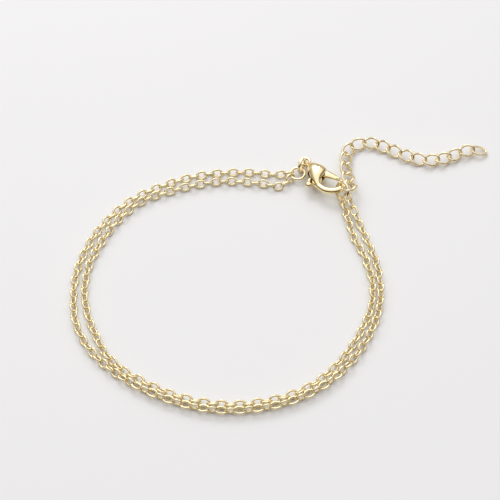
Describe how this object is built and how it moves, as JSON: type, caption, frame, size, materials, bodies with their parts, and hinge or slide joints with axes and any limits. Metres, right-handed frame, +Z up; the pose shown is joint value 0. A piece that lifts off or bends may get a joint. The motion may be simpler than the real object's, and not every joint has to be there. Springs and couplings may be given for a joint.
{
  "type": "chain bracelet",
  "caption": "Chain bracelet lying open on a table: two strands of fine cable chain, a lobster clasp, jump rings and a curb extender chain with a free end",
  "frame": {"origin": "on the table, under the middle of the bracelet's bounding box", "axes": "+X along the bracelet's longest extent, from the wrist loop to the extender's free end; +Z up from the table; +Y away from the camera"},
  "size_m": [0.0759, 0.0618, 0.0038],
  "materials": {
    "chain_gold": "polished pale gold, drawn wire links",
    "wire_gold": "polished pale gold, round wire",
    "cast_gold": "high polish cast gold"
  },
  "bodies": {
    "bracelet": {"outer_strand_left": "chain_gold", "outer_strand_right": "chain_gold", "inner_strand": "chain_gold", "end_ring": "wire_gold", "clasp_ring": "wire_gold", "hook_ring": "wire_gold", "clasp_body": "cast_gold", "clasp_pin": "cast_gold", "extender_link_01": "wire_gold", "extender_link_02": "wire_gold", "extender_link_03": "wire_gold", "extender_link_04": "wire_gold", "extender_link_05": "wire_gold", "extender_link_06": "wire_gold", "extender_link_07": "wire_gold", "extender_link_08": "wire_gold", "extender_link_09": "wire_gold", "extender_link_10": "wire_gold", "extender_link_11": "wire_gold", "extender_link_12": "wire_gold", "extender_link_13": "wire_gold", "extender_link_14": "wire_gold", "extender_link_15": "wire_gold", "extender_link_16": "wire_gold", "extender_end_link": "wire_gold"},
    "lever": {"clasp_lever": "cast_gold"}
  },
  "joints": [
    {"name": "clasp_lever_hinge", "type": "hinge", "parent": "bracelet", "child": "lever", "pos_m": [0.0057, 0.02158, 0.00172], "axis": [0.0596, -0.0683, -0.9959], "range_deg": [0, 25], "stiffness_Nm_per_rad": 0.002, "springref_deg": -28.65}
  ]
}
